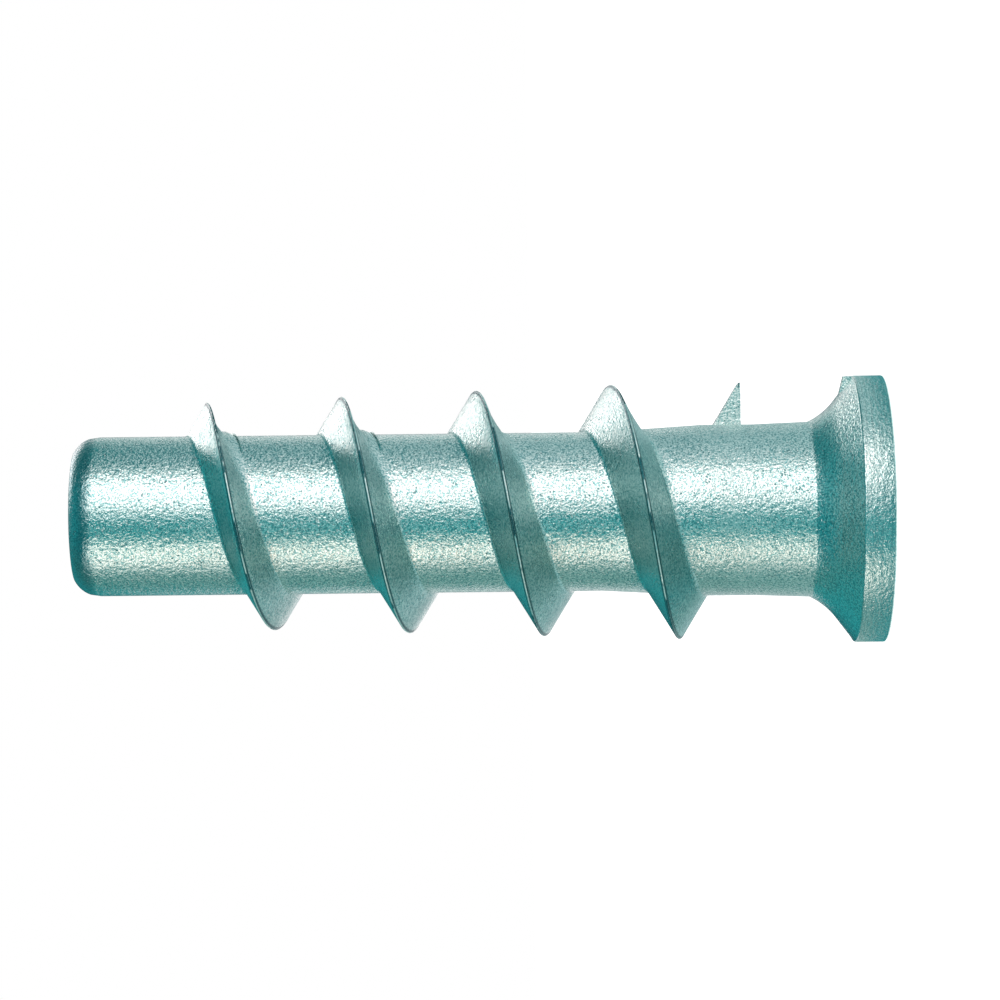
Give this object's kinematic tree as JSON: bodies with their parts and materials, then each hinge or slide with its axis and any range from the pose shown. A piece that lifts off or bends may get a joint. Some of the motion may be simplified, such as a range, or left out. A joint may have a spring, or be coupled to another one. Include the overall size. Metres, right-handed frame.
{
  "type": "aerated concrete anchor",
  "caption": "One-piece die-cast screw-in anchor with a deep coarse helical ridge, a flanged head with a hexagon socket and an internal metric thread.",
  "frame": {"origin": "centre of the flat head face, on the axis", "axes": "+Z runs along the axis from the head face to the tip, so the anchor stands on its head; the thread ridge ends beside the head on the +X side"},
  "size_m": [0.0198, 0.0198, 0.06],
  "materials": {
    "zinc": "blue-passivated die-cast zinc, satin with a fine sparkling grain"
  },
  "bodies": {
    "root": {"anchor_body": "zinc"}
  },
  "joints": []
}
